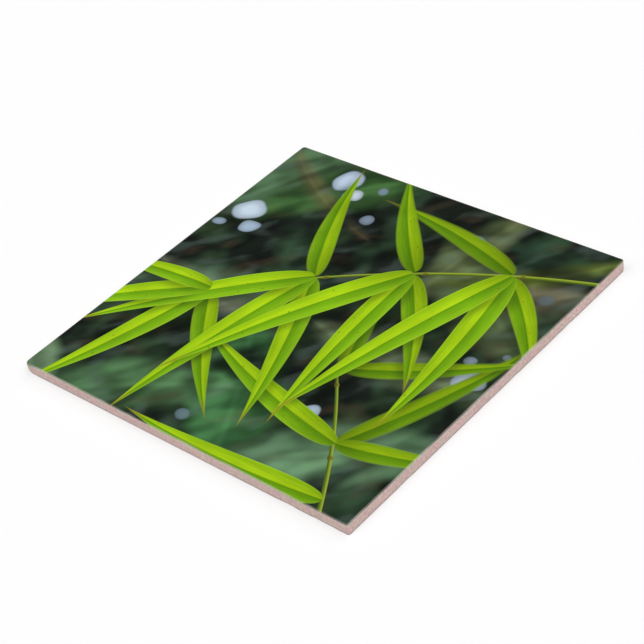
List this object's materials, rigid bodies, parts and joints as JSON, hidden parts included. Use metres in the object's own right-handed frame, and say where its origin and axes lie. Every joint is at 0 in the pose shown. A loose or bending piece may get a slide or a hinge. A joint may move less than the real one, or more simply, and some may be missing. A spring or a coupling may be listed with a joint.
{
  "type": "ceramic picture tile",
  "caption": "Flat square ceramic tile lying face up: a bare pink clay body with a keyed back under a thin glossy glaze skin that carries a printed leaf picture.",
  "frame": {"origin": "middle of the back, level with the flat keys that the tile rests on", "axes": "+Z out of the glazed face; +X along the foot of the picture, from its left to its right; +Y towards the top of the picture"},
  "size_m": [0.1524, 0.1524, 0.0048],
  "materials": {
    "bare_clay": "matte",
    "printed_glaze": "gloss"
  },
  "bodies": {
    "root": {"clay_body": "bare_clay", "printed_glaze": "printed_glaze"}
  },
  "joints": []
}
